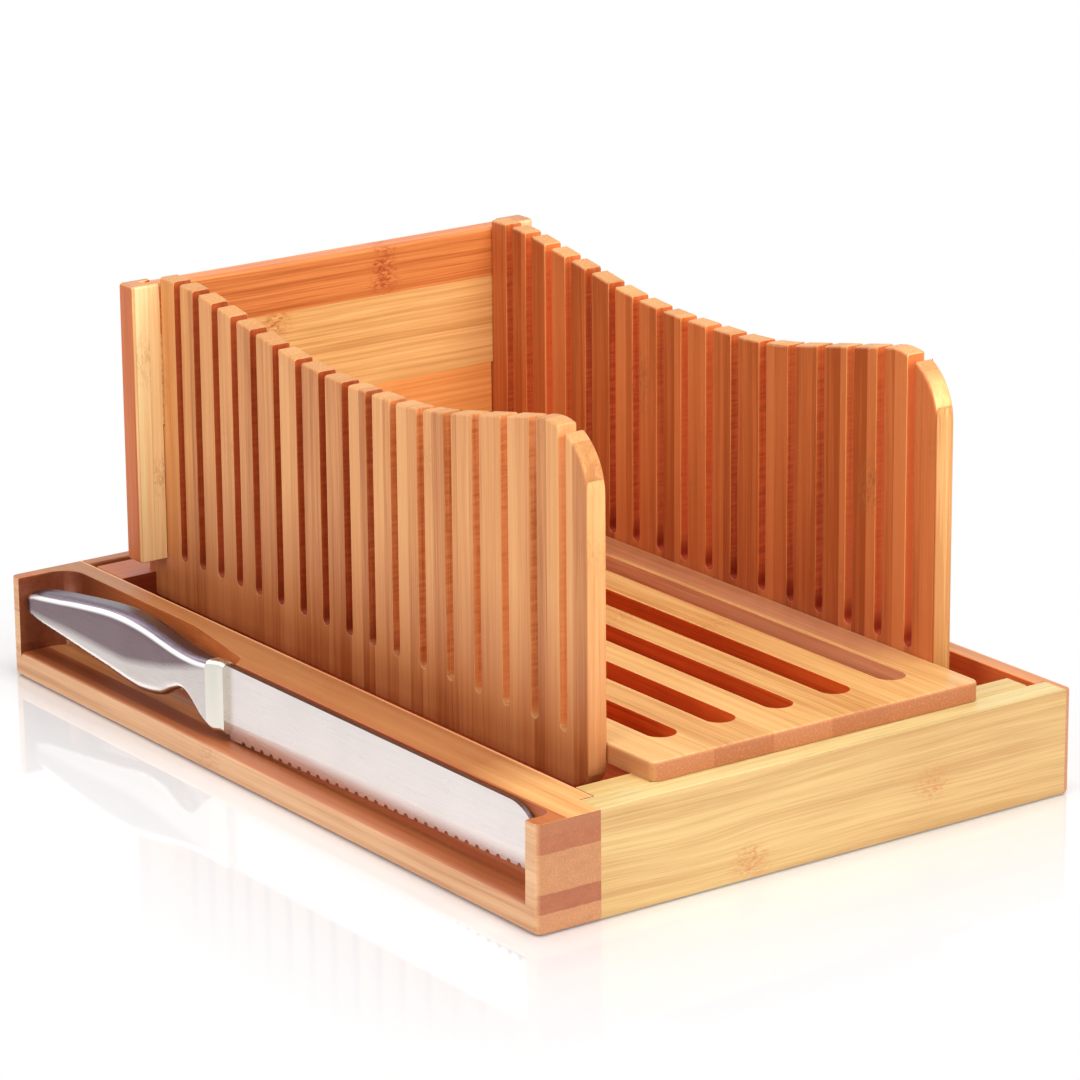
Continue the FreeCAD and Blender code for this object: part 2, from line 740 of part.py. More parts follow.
def makeCleat(name, across, grooveStart, grooveEnd, outerFace):
    """An upright end piece, grooved for the tongues above the lap."""
    body = newBody(name)
    place(body, across, "panelAlong", "panelRise")
    plan = newSketch(body, name + "Plan", "XY_Plane")
    rectangle(plan, "0", "0", "cleatWidth", "panelThickness")
    pad(body, plan, "cleatTop - panelRise")
    outer = value(outerFace)
    top = value("cleatTop - panelRise")
    deep = value("panelThickness")

    def exposed(box):
        ends = box.YLength > deep - 0.01 and abs(box.XMax - outer) < 0.01
        fronts = level(box, top) and box.XLength > 1
        return ends or fronts or upright(box, outer, 0) or upright(box, outer, deep)

    roundEdges(body, name + "Round", "panelEdge", exposed)
    groove = newSketch(body, name + "Groove", "XY_Plane", "lapRise - panelRise")
    rectangle(groove, grooveStart, tongueStart, grooveEnd, tongueEnd)
    pocket(body, groove, "cleatTop - lapRise + 1", reverse=True)


def makeCleats():
    left = staveAcross + " - cleatWidth"
    makeCleat("left_cleat", left, "cleatWidth - tongueLength", "cleatWidth + 1", "0")
    makeCleat("right_cleat", staveAcross + " + " + staveWidth, "-1", "tongueLength", "cleatWidth")


# The knife: a serrated blade with its tang, and a bolster and hollow handle that share one form.

def makeBlade():
    body = newBody("knife_blade")
    body.Placement.Rotation = Rotation(Vector(-1, 0, 0), 1)
    bind(body, "Placement.Rotation.Angle", "bladeTilt")
    place(body, "knifeAcross - bladeThickness / 2", "bladeTipAlong", "bladeTipRise")
    side = newSketch(body, "bladeSide", "YZ_Plane")
    tangEnd = "bladeLength + tangLength"
    polygon(side, [
        ("0", "0"),
        ("bladeLength", "0"),
        ("bladeLength", "tangRise"),
        (tangEnd, "tangRise"),
        (tangEnd, "tangRise + tangWidth"),
        ("bladeLength", "tangRise + tangWidth"),
        ("bladeLength", "bladeHeelWidth"),
        ("0", "bladeTipWidth"),
    ])
    pad(body, side, "bladeThickness")
    for name, rise in (("bladeTipRadius", "bladeTipWidth"), ("bladeToeRadius", "0")):
        height = value(rise)

        def atTip(box):
            return box.XLength > 1 and box.YMax < 0.01 and level(box, height)

        roundEdges(body, name + "Round", name, atTip)
    grind = newSketch(body, "bladeGrind", "XZ_Plane")
    nearFace = "(bladeThickness - edgeThickness) / 2"
    farFace = "(bladeThickness + edgeThickness) / 2"
    for edge, face, beyond in ((nearFace, "0", "-1"), (farFace, "bladeThickness", "bladeThickness + 1")):
        polygon(grind, [
            (beyond, "-1"),
            (edge, "-1"),
            (edge, "0"),
            (face, "grindHeight"),
            (beyond, "grindHeight"),
        ])
    pocket(body, grind)
    tooth = newSketch(body, "bladeTooth", "YZ_Plane")
    circle(tooth, "firstToothAlong", "0", "2 * toothRadius")
    gullet = pocket(body, tooth)
    linePattern(body, gullet, "Y_Axis", "toothCount", "toothPitch")
    return body


def makeGripCore(section):
    """The flat middle of a section, without its rounded rim."""
    core = doc.addObject("Part::Plane", section + "Core")
    core.Placement.Rotation = Rotation(Vector(1, 1, 1), 240)
    height = section + "Height - 2 * gripCorner * " + section + "Thickness"
    thickness = "(1 - 2 * gripCorner) * " + section + "Thickness"
    bind(core, "Length", height)
    bind(core, "Width", thickness)
    left = "knifeAcross - " + thickness + " / 2"
    bottom = section + "Rise - (" + height + ") / 2"
    place(core, left, bolsterAlong + " + " + section + "Along", bottom)
    return core


def makeGripLoft(name, cores, shell):
    """A solid through the grip's sections, each drawn in by the shell's thickness."""
    rings = []
    for section, core in cores.items():
        ring = doc.addObject("Part::Offset2D", name + section.title())
        ring.Source = core
        ring.Join = "Arc"
        bind(ring, "Value", "gripCorner * " + section + "Thickness - " + shell)
        rings.append(ring)
    loft = doc.addObject("Part::Loft", name)
    loft.Sections = rings
    loft.Solid = True
    return loft


def makeCut(name, base, tool):
    cut = doc.addObject("Part::Cut", name)
    cut.Base = base
    cut.Tool = tool
    return cut


def makeGrip(blade):
    cores = {section: makeGripCore(section) for section in gripSections}
    hollowCores = {section: cores[section] for section in list(gripSections)[3:-1]}
    whole = makeGripLoft("grip", cores, "0")
    hollow = makeGripLoft("gripHollow", hollowCores, "handleShell")
    collar = doc.addObject("Part::Extrusion", "collarBand")
    collar.Base = whole.Sections[0]
    collar.Dir = Vector(0, -1, 0)
    collar.Solid = True
    bind(collar, "LengthFwd", "collarLength")
    spans = (
        ("bolster", bolsterAlong + " + collarLength", "bolsterLength - collarLength"),
        ("handle", bolsterAlong + " + bolsterLength", "buttAlong - bolsterLength + 1"),
    )
    pieces = {}
    for name, along, length in spans:
        span = doc.addObject("Part::Box", name + "Span")
        bind(span, "Length", "2 * bellyThickness")
        bind(span, "Width", length)
        bind(span, "Height", "2 * trayHeight")
        place(span, "knifeAcross - bellyThickness", along, "0")
        piece = doc.addObject("Part::Common", name + "Form")
        piece.Base = whole
        piece.Tool = span
        pieces[name] = piece
    collared = doc.addObject("Part::Fuse", "bolsterCollared")
    collared.Base = pieces["bolster"]
    collared.Tool = collar
    bolster = makeCut("knife_bolster", collared, blade)
    shell = makeCut("handleShellForm", pieces["handle"], hollow)
    handle = makeCut("knife_handle", shell, blade)
    for piece in (bolster, handle):
        piece.Label = piece.Name
        subParts.append(piece)


makeKnifeWall()
makePartition()
makeFrontRail()
makeRightRail()
makeBackRail()
makeFloor()
makeFrontBatten()
makeRearBatten()
makeBoard()
makeGuide("left_guide", leftGuideAcross, "guideThickness - dowelInGuide", True)
makeGuide("right_guide", rightGuideAcross, "dowelInGuide", False)
makeRackDowels()
makeStaves()
makeCleats()
makeGrip(makeBlade())
doc.recompute()

for item in doc.Objects:
    if {"Invalid", "Error"} & set(item.State):
        raise ValueError(item.Name + " failed: " + ", ".join(item.State))
os.makedirs("parts", exist_ok=True)
for item in subParts:
    if item.Shape.isNull() or not item.Shape.isValid() or item.Shape.Volume <= 0:
        raise ValueError(item.Label + " has no sound solid")
for item in subParts:
    item.Shape.exportStep("parts/" + item.Label + ".step")
    box = item.Shape.BoundBox
    print(item.Label, len(item.Shape.Solids), round(item.Shape.Volume), box)
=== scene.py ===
import json
import math
import bmesh
import bpy
from mathutils import Matrix, Vector
from mathutils.bvhtree import BVHTree


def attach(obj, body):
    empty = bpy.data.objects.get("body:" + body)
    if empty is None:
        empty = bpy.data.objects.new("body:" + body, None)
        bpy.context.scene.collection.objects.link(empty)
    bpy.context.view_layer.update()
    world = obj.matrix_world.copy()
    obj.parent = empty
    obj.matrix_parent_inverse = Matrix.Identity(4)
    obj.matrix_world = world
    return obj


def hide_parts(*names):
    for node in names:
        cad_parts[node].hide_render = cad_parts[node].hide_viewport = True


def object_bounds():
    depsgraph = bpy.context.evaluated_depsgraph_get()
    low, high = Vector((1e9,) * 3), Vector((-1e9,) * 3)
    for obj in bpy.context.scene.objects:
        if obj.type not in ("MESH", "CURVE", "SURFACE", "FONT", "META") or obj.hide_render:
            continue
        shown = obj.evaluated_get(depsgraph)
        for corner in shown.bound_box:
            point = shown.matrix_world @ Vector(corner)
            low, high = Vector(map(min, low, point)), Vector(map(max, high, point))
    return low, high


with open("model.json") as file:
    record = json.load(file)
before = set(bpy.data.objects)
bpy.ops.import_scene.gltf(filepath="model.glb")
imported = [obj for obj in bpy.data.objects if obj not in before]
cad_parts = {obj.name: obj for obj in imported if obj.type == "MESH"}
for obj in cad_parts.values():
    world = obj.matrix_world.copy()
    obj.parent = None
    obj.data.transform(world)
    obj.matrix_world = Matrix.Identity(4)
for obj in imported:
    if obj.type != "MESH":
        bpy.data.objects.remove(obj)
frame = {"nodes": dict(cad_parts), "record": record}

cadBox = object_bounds()
nodes = frame["nodes"]
bodyOf = {node: body for body, group in frame["record"]["behaviour"]["bodies"].items() for node in group}
print("frame loaded:", len(nodes), "nodes")


def shade(tree, kind, inputs=None, **settings):
    # one shader node, with its sockets set or linked
    made = tree.nodes.new(kind)
    for name, value in settings.items():
        setattr(made, name, value)
    for name, value in (inputs or {}).items():
        if isinstance(value, bpy.types.NodeSocket):
            tree.links.new(value, made.inputs[name])
        else:
            made.inputs[name].default_value = value
    return made


def calc(tree, operation, *values, clamp=False):
    made = shade(tree, "ShaderNodeMath", dict(enumerate(values)), operation=operation, use_clamp=clamp)
    return made.outputs[0]


def ramp(tree, factor, stops, mode="LINEAR"):
    made = shade(tree, "ShaderNodeValToRGB", {"Fac": factor})
    made.color_ramp.interpolation = mode
    while len(made.color_ramp.elements) < len(stops):
        made.color_ramp.elements.new(0.5)
    for element, (place, colour) in zip(made.color_ramp.elements, stops):
        element.position = place
        element.color = (*colour, 1)
    return made.outputs["Color"]


def blendColours(tree, factor, first, second, mode="MIX"):
    # sockets 6 and 7 of a colour mix are its two colours
    first, second = (colour if isinstance(colour, bpy.types.NodeSocket) else (*colour, 1)
                     for colour in (first, second))
    made = shade(tree, "ShaderNodeMix", {0: factor, 6: first, 7: second}, data_type="RGBA", blend_type=mode)
    return made.outputs[2]


def stretchedNoise(tree, parts, scales, detail=2.0, roughness=0.55):
    # the scales are cells per metre along each part
    scaled = [calc(tree, "MULTIPLY", part, scale) for part, scale in zip(parts, scales)]
    vector = shade(tree, "ShaderNodeCombineXYZ", dict(zip("XYZ", scaled))).outputs[0]
    made = shade(tree, "ShaderNodeTexNoise", {"Vector": vector, "Scale": 1.0, "Detail": detail,
                                               "Roughness": roughness})
    return made.outputs["Fac"]


def centred(tree, noise, weight):
    # a noise about its middle value, times a weight
    return calc(tree, "MULTIPLY", calc(tree, "SUBTRACT", noise, 0.5), weight)


def stripChance(tree, strip, seed):
    # a random number of its own for each strip
    made = shade(tree, "ShaderNodeTexWhiteNoise", {"W": calc(tree, "ADD", strip, seed)}, noise_dimensions="1D")
    return made.outputs["Value"]


def fade(tree, value, start, end):
    # 0 at start, 1 at end
    return calc(tree, "DIVIDE", calc(tree, "SUBTRACT", value, start), end - start, clamp=True)


def fallOff(tree, value, reach):
    # 1 at 0, 0 from the reach on
    return calc(tree, "SUBTRACT", 1.0, calc(tree, "DIVIDE", value, reach, clamp=True), clamp=True)


def between(tree, value, low, lowFull, highFull, high):
    # 1 from lowFull to highFull, and 0 outside low and high
    return calc(tree, "MULTIPLY", fade(tree, value, low, lowFull), fade(tree, value, high, highFull))


def distance(tree, first, second):
    squares = calc(tree, "ADD", calc(tree, "POWER", first, 2.0), calc(tree, "POWER", second, 2.0))
    return calc(tree, "SQRT", squares)


def placeAndFacing(tree):
    # where a point of the piece lies, in metres, and the way its surface points
    place = shade(tree, "ShaderNodeTexCoord")
    parts = shade(tree, "ShaderNodeSeparateXYZ", {"Vector": place.outputs["Object"]}).outputs
    facing = shade(tree, "ShaderNodeSeparateXYZ", {"Vector": place.outputs["Normal"]}).outputs
    return parts, facing


def addBump(tree, surface, height, bump):
    strength, reach = bump
    made = shade(tree, "ShaderNodeBump", {"Height": height, "Strength": strength, "Distance": reach})
    tree.links.new(made.outputs[0], surface.inputs["Normal"])


def newMaterial(name):
    material = bpy.data.materials.new(name)
    material.use_nodes = True
    tree = material.node_tree
    tree.nodes.clear()
    surface = shade(tree, "ShaderNodeBsdfPrincipled")
    shade(tree, "ShaderNodeOutputMaterial", {"Surface": surface.outputs[0]})
    return material, tree, surface


# what all bamboo pieces share; each piece's own dictionary changes some of it
# a scale is in cells per metre along the grain, across it and through the piece
bambooFinish = {
    # the strips, in metres, and how far each one's stretch of cane is shifted
    "stripStart": 0.0, "stripWidth": 0.02, "stripShift": 0.7, "seed": 1.0,
    # the noises along the grain
    "bendScale": (11, 40, 40), "waver": 0.003, "fibreScale": (24, 1500, 1500), "streakScale": (3.2, 330, 330),
    "cloudScale": (9, 38, 38), "rippleScale": (90, 90, 700),
    # how strongly each of them changes the tone
    "contrast": 1.0, "stripTone": 0.5, "fibreTone": 0.8, "streakTone": 0.9, "cloudTone": 0.6, "rippleTone": 0.8,
    # other tones by the way a face points: between these turns, 1 being straight at it
    "faces": {}, "faceTurn": (0.6, 0.8),
    # the glue line between two strips
    "seam": 0.35, "seamWidth": 0.0002, "seamColour": (0.3, 0.09, 0.03),
    # the knuckles
    "knucklePitch": 0.26, "knuckleScatter": 1.0, "knuckleSeed": 40.5, "knuckleStart": 0.1, "knuckleReach": 0.012,
    "knuckle": 0.4, "knuckleColour": (0.42, 0.14, 0.045), "wanderScale": (60, 260, 260), "knuckleWander": 0.016,
    # the larger knots: each one's place along and across, their size, and their dark specks
    "knots": [], "knotReach": (0.014, 0.010), "knotWander": 1.3, "knotStrength": 1.5,
    "speckScale": (420, 800, 800), "speckStart": 0.42, "speckGain": 5.0,
    # the end grain
    "endTurn": (0.4, 0.9), "endTone": (0.6, 0.27, 0.12), "endMiddle": 0.35, "endChance": 0.35,
    "endDots": 1100, "endDotTone": 0.5, "endContrast": 0.6, "layers": None,
    # the surface
    "roughness": 0.42, "roughScatter": 0.22, "endRoughness": 0.15, "shine": 0.3,
    "varnish": 0.12, "varnishRoughness": 0.25,
    "fibreBump": 0.7, "knuckleBump": 0.8, "seamBump": 0.5, "bump": (0.3, 0.0003),
    # places of their own tone, most of them painted shade, painted light and painted reflections
    "patches": [], "patchTurn": (0.5, 0.85),
}
# how a tone's dark and light ends differ from it, in red, green and blue
toneSpread = {"places": (0.1, 0.5, 0.9), "falls": (0.32, 0.48, 0.6), "rises": (0.16, 0.34, 0.5)}


def toneRamp(tree, factor, tone, contrast):
    low = [part * (1 - fall * contrast) for part, fall in zip(tone, toneSpread["falls"])]
    high = [min(1, part * (1 + rise * contrast)) for part, rise in zip(tone, toneSpread["rises"])]
    return ramp(tree, factor, list(zip(toneSpread["places"], (low, tone, high))))


def patchMask(tree, parts, facing, patch, usualTurn):
    # where a patch of another tone lies: its spans in metres, and the way its faces point
    mask = patch.get("weight", 1.0)
    for axis, span in patch["spans"].items():
        mask = calc(tree, "MULTIPLY", between(tree, parts[axis], *span), mask)
    axis, way = patch["facing"]
    turned = calc(tree, "MULTIPLY", facing[axis], way) if way else calc(tree, "ABSOLUTE", facing[axis])
    return calc(tree, "MULTIPLY", mask, fade(tree, turned, *patch.get("turn", usualTurn)))


def makeBamboo(name, changes):
    # laminated bamboo: strips side by side, fibres along the grain, knuckles, and dotted end grain
    finish = {**bambooFinish, **changes}
    material, tree, surface = newMaterial(name)
    parts, facing = placeAndFacing(tree)
    grain, across = finish["grain"], finish["across"]
    through = ({"X", "Y", "Z"} - {grain, across}).pop()
    along, side, depth = parts[grain], parts[across], parts[through]
    inAxes = (parts["X"], parts["Y"], parts["Z"])

    # each strip has its own tone and its own stretch of cane
    count = calc(tree, "DIVIDE", calc(tree, "SUBTRACT", side, finish["stripStart"]), finish["stripWidth"])
    strip = calc(tree, "FLOOR", count)
    share = calc(tree, "FRACT", count)
    chance = stripChance(tree, strip, finish["seed"])
    shifted = calc(tree, "ADD", along, calc(tree, "MULTIPLY", chance, finish["stripShift"]))
    bend = stretchedNoise(tree, (shifted, side, depth), finish["bendScale"], detail=1.0)
    bent = calc(tree, "ADD", side, centred(tree, bend, finish["waver"]))

    fibre = stretchedNoise(tree, (shifted, bent, depth), finish["fibreScale"], detail=3.0, roughness=0.6)
    streak = stretchedNoise(tree, (shifted, bent, depth), finish["streakScale"])
    cloud = stretchedNoise(tree, (shifted, bent, depth), finish["cloudScale"])
    tone = calc(tree, "ADD", 0.5, centred(tree, chance, finish["stripTone"]))
    for noise, weight in ((fibre, "fibreTone"), (streak, "streakTone"), (cloud, "cloudTone")):
        tone = calc(tree, "ADD", tone, centred(tree, noise, finish[weight]))
    colour = toneRamp(tree, tone, finish["tone"], finish["contrast"])
    for axis, faceTone in finish["faces"].items():
        turned = fade(tree, calc(tree, "ABSOLUTE", facing[axis]), *finish["faceTurn"])
        colour = blendColours(tree, turned, colour, toneRamp(tree, tone, faceTone, finish["contrast"]))

    # the glue line between two strips
    edge = calc(tree, "MINIMUM", share, calc(tree, "SUBTRACT", 1.0, share))
    line = fallOff(tree, calc(tree, "MULTIPLY", edge, finish["stripWidth"]), finish["seamWidth"])
    colour = blendColours(tree, calc(tree, "MULTIPLY", line, finish["seam"]), colour, finish["seamColour"])

    # knuckles, one every knucklePitch or so along each strip
    wander = stretchedNoise(tree, (along, side, depth), finish["wanderScale"])
    scatter = stripChance(tree, strip, finish["seed"] + finish["knuckleSeed"])
    spot = calc(tree, "ADD", calc(tree, "DIVIDE", along, finish["knucklePitch"]),
                calc(tree, "MULTIPLY", scatter, finish["knuckleScatter"]))
    spot = calc(tree, "SUBTRACT", calc(tree, "FRACT", calc(tree, "ADD", spot, finish["knuckleStart"])), 0.5)
    gap = calc(tree, "MULTIPLY", calc(tree, "ABSOLUTE", spot), finish["knucklePitch"])
    gap = calc(tree, "ADD", gap, centred(tree, wander, finish["knuckleWander"]))
    knuckle = calc(tree, "MULTIPLY", fallOff(tree, gap, finish["knuckleReach"]), finish["knuckle"])

    # and the larger knots at their own places
    reachAlong, reachSide = finish["knotReach"]
    for knotAlong, knotSide in finish["knots"]:
        offAlong = calc(tree, "DIVIDE", calc(tree, "SUBTRACT", along, knotAlong), reachAlong)
        offSide = calc(tree, "DIVIDE", calc(tree, "SUBTRACT", side, knotSide), reachSide)
        away = calc(tree, "ADD", distance(tree, offAlong, offSide), centred(tree, wander, finish["knotWander"]))
        knot = calc(tree, "SUBTRACT", 1.0, away, clamp=True)
        knot = calc(tree, "MULTIPLY", knot, finish["knotStrength"], clamp=True)
        knuckle = calc(tree, "MAXIMUM", knuckle, knot)
    speck = stretchedNoise(tree, (along, side, depth), finish["speckScale"], roughness=0.7)
    speck = calc(tree, "SUBTRACT", speck, finish["speckStart"])
    knuckle = calc(tree, "MULTIPLY", knuckle, calc(tree, "MULTIPLY", speck, finish["speckGain"], clamp=True))
    colour = blendColours(tree, knuckle, colour, finish["knuckleColour"])

    # end grain where the surface cuts the fibres
    ends = fade(tree, calc(tree, "ABSOLUTE", facing[grain]), *finish["endTurn"])
    cell = shade(tree, "ShaderNodeCombineXYZ", {"X": calc(tree, "MULTIPLY", side, finish["endDots"]),
                                               "Y": calc(tree, "MULTIPLY", depth, finish["endDots"])}).outputs[0]
    dots = shade(tree, "ShaderNodeTexVoronoi", {"Vector": cell, "Scale": 1.0}, voronoi_dimensions="2D")
    dots = dots.outputs["Distance"]
    endTone = calc(tree, "ADD", centred(tree, chance, finish["endChance"]), finish["endMiddle"])
    endTone = calc(tree, "ADD", centred(tree, dots, finish["endDotTone"]), endTone)
    endColour = toneRamp(tree, endTone, finish["endTone"], finish["contrast"] * finish["endContrast"])
    layers = finish["layers"]
    if layers:
        level = calc(tree, "ADD", parts["Z"], centred(tree, wander, layers["wander"]))
        layerColour = ramp(tree, calc(tree, "DIVIDE", level, layers["top"]), layers["tones"], "CONSTANT")
        blotch = stretchedNoise(tree, inAxes, layers["blotchScale"])
        grey = calc(tree, "ADD", calc(tree, "MULTIPLY", dots, layers["dotShade"]),
                    calc(tree, "MULTIPLY", blotch, layers["blotchShade"]))
        grey = calc(tree, "ADD", grey, layers["shade"])
        grey = shade(tree, "ShaderNodeCombineColor", {"Red": grey, "Green": grey, "Blue": grey}).outputs[0]
        endColour = blendColours(tree, 1.0, layerColour, grey, "MULTIPLY")
    colour = blendColours(tree, ends, colour, endColour)

    # patches of their own tone, most of them painted shade, painted light and painted reflections; sawn walls take a
    # rippled tone
    ripple = stretchedNoise(tree, inAxes, finish["rippleScale"])
    rippled = calc(tree, "ADD", tone, centred(tree, ripple, finish["rippleTone"]))
    for patch in finish["patches"]:
        mask = patchMask(tree, parts, facing, patch, finish["patchTurn"])
        patchColour = toneRamp(tree, rippled if patch.get("sawn") else tone, patch["tone"], finish["contrast"])
        colour = blendColours(tree, mask, colour, patchColour)

    tree.links.new(colour, surface.inputs["Base Color"])
    rough = calc(tree, "ADD", finish["roughness"], centred(tree, fibre, finish["roughScatter"]))
    rough = calc(tree, "ADD", rough, calc(tree, "MULTIPLY", ends, finish["endRoughness"]))
    tree.links.new(rough, surface.inputs["Roughness"])
    height = calc(tree, "ADD", calc(tree, "MULTIPLY", fibre, finish["fibreBump"]),
                  calc(tree, "MULTIPLY", knuckle, finish["knuckleBump"]))
    height = calc(tree, "SUBTRACT", height, calc(tree, "MULTIPLY", line, finish["seamBump"]))
    addBump(tree, surface, height, finish["bump"])
    surface.inputs["Specular IOR Level"].default_value = finish["shine"]
    surface.inputs["Coat Weight"].default_value = finish["varnish"]
    surface.inputs["Coat Roughness"].default_value = finish["varnishRoughness"]
    return material


# what the knife's steels share; spans and heights are in metres, scales in cells per metre
steelFinish = {
    "brushShare": 0.6, "smudgeShare": 0.4, "smudgeScale": (30, 30, 30), "roughScatter": 0.15,
    "flatFade": (-0.0015, 0.002), "highlightFade": (-0.0013, -0.0005, 0.0004, 0.0009), "spineFade": (0.0005, 0.0011),
    "spineTurn": (0.5, 0.8), "bump": (0.06, 0.0001),
}
riseReach = 60  # millimetres that a whole ramp stands for


def riseAlong(tree, along, line):
    # a height in metres that follows a line of (along, rise) points in millimetres
    start, end = line[0][0], line[-1][0]
    share = fade(tree, along, start / 1000, end / 1000)
    stops = [((place - start) / (end - start), (rise / riseReach,) * 3) for place, rise in line]
    return calc(tree, "MULTIPLY", ramp(tree, share, stops, "B_SPLINE"), riseReach / 1000)


def makeSteel(name, changes):
    # ground steel with a painted dark reflection on its spine; the grip also has painted dark reflections on its
    # flats and a painted highlight line above them
    finish = {**steelFinish, **changes}
    material, tree, surface = newMaterial(name)
    parts, facing = placeAndFacing(tree)
    along, rise = parts["Y"], parts["Z"]
    brushed = stretchedNoise(tree, (parts["X"], along, rise), finish["brushScale"])
    smudge = stretchedNoise(tree, (parts["X"], along, rise), finish["smudgeScale"])
    tone = calc(tree, "ADD", calc(tree, "MULTIPLY", brushed, finish["brushShare"]),
                calc(tree, "MULTIPLY", smudge, finish["smudgeShare"]))
    colour = ramp(tree, tone, finish["tones"])
    rough = calc(tree, "ADD", finish["roughness"], centred(tree, brushed, finish["roughScatter"]))
    if "darkFlatReflections" in finish:
        # painted dark reflections on the flats, a painted highlight line above them and a painted dark reflection on
        # the spine
        low, high = riseAlong(tree, along, finish["flatLow"]), riseAlong(tree, along, finish["flatHigh"])
        flat = fade(tree, calc(tree, "SUBTRACT", rise, low), *finish["flatFade"])
        colour = blendColours(tree, flat, colour, ramp(tree, tone, finish["darkFlatReflections"]))
        above = calc(tree, "SUBTRACT", rise, high)
        line = between(tree, above, *finish["highlightFade"])
        colour = blendColours(tree, line, colour, finish["highlightTone"])
        spine = fade(tree, above, *finish["spineFade"])
        colour = blendColours(tree, spine, colour, ramp(tree, tone, finish["darkSpineReflections"]))
        collar = between(tree, along, *finish["collarSpan"])
        colour = blendColours(tree, collar, colour, finish["collarTone"])
        rough = calc(tree, "ADD", rough, calc(tree, "MULTIPLY", flat, finish["flatRoughness"]))
    else:
        # a painted dark reflection where the steel faces upwards
        spine = fade(tree, facing["Z"], *finish["spineTurn"])
        colour = blendColours(tree, spine, colour, ramp(tree, tone, finish["darkSpineReflections"]))
    tree.links.new(colour, surface.inputs["Base Color"])
    tree.links.new(rough, surface.inputs["Roughness"])
    addBump(tree, surface, brushed, finish["bump"])
    surface.inputs["Metallic"].default_value = 1.0
    return material


# how the pieces' corners are eased: lengths in metres, turns in degrees
easing = {"width": 0.0005, "segments": 2, "sharpest": 40, "flat": 0.05, "merge": 0.000002,
          "touching": 0.00015, "smooth": 32}
skins = {name: BVHTree.FromObject(node, bpy.context.evaluated_depsgraph_get()) for name, node in nodes.items()}


def touchesNeighbour(point, name):
    for other, skin in skins.items():
        if other != name and bodyOf[other] == bodyOf[name]:
            if skin.find_nearest(point, easing["touching"])[0] is not None:
                return True
    return False


def mergedForm(name):
    # a copy of the node's mesh, with its points joined and its flat faces made whole
    form = bmesh.new()
    form.from_mesh(nodes[name].data)
    bmesh.ops.remove_doubles(form, verts=form.verts, dist=easing["merge"])
    bmesh.ops.dissolve_limit(form, angle_limit=math.radians(easing["flat"]), verts=form.verts, edges=form.edges)
    return form


def easeCorners(form, name, width):
    # only outer corners that lie against no other piece
    corners = []
    for edge in form.edges:
        if len(edge.link_faces) == 2 and edge.calc_face_angle_signed(0) > math.radians(easing["sharpest"]):
            middle = (edge.verts[0].co + edge.verts[1].co) / 2
            if not touchesNeighbour(middle, name):
                corners.append(edge)
    bmesh.ops.bevel(form, geom=corners, offset=width, offset_type="OFFSET", affect="EDGES",
                    segments=easing["segments"], profile=0.5, material=-1, clamp_overlap=False)
    return len(corners)


def addObject(name, form, meshName):
    mesh = bpy.data.meshes.new(meshName)
    form.to_mesh(mesh)
    form.free()
    made = bpy.data.objects.new(name, mesh)
    bpy.context.scene.collection.objects.link(made)
    return made, mesh


def standIn(name, form, material):
    # the finished piece that stands for its node
    piece, mesh = addObject(name + "_finished", form, name + "Form")
    mesh.shade_smooth()
    mesh.set_sharp_from_angle(angle=math.radians(easing["smooth"]))
    mesh.materials.append(material)
    weighted = piece.modifiers.new("evenShading", "WEIGHTED_NORMAL")
    weighted.keep_sharp = True
    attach(piece, bodyOf[name])
    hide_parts(name)


def dressBamboo(name, finish):
    form = mergedForm(name)
    eased = easeCorners(form, name, finish.get("easing", easing["width"]))
    standIn(name, form, makeBamboo(name + "Bamboo", finish))
    print("bamboo piece", name, "with", eased, "eased edges")


# the knife block's two halves: five layers show on their ends, and the pocket's inside gets painted shade
blockLayers = {
    "tones": [(0.0, (0.5, 0.22, 0.095)), (0.185, (0.36, 0.112, 0.05)), (0.363, (0.48, 0.21, 0.088)),
              (0.722, (0.38, 0.124, 0.052)), (0.878, (0.39, 0.138, 0.058))],
    "top": 0.041, "wander": 0.0006,
    "shade": 0.76, "dotShade": 0.2, "blotchShade": 0.3, "blotchScale": (160, 160, 300),
}
# painted shade on the pocket's end walls and on the wall behind the handle, and a painted shadow on the floor under
# the handle
pocketEndShade = {"facing": ("Y", -1), "spans": {"Y": (-0.171, -0.17, 0.177, 0.178)}, "tone": (0.2, 0.045, 0.014)}
pocketWallShade = {"facing": ("X", -1), "spans": {"X": (-0.119, -0.117, -0.1, -0.099)}, "tone": (0.42, 0.1, 0.03)}
pocketFloorShadow = {"facing": ("Z", 1), "tone": (0.24, 0.05, 0.014), "weight": 0.75,
               "spans": {"X": (-0.1175, -0.1155, -0.109, -0.1085), "Y": (0.0, 0.06, 0.178, 0.18),
                         "Z": (0.0, 0.004, 0.013, 0.015)}}
knifeWall = {"grain": "Y", "across": "Z", "stripWidth": 0.0135, "seed": 5.0, "tone": (0.66, 0.34, 0.16),
             "faces": {"Z": (0.44, 0.125, 0.038)}, "layers": blockLayers,
             "patches": [pocketEndShade, pocketWallShade, pocketFloorShadow]}
dressBamboo("knife_wall", knifeWall)
frontTop = {"facing": ("Z", 1), "spans": {"Y": (-0.19, -0.185, -0.15, -0.115)},
            "tone": (0.75, 0.38, 0.13), "weight": 0.85}
# a painted highlight along the inner edge of the partition's top
innerEdgeHighlight = {"facing": ("Z", 1), "spans": {"X": (-0.0901, -0.0897, -0.08, -0.079)},
             "tone": (0.8, 0.38, 0.16), "weight": 0.8}
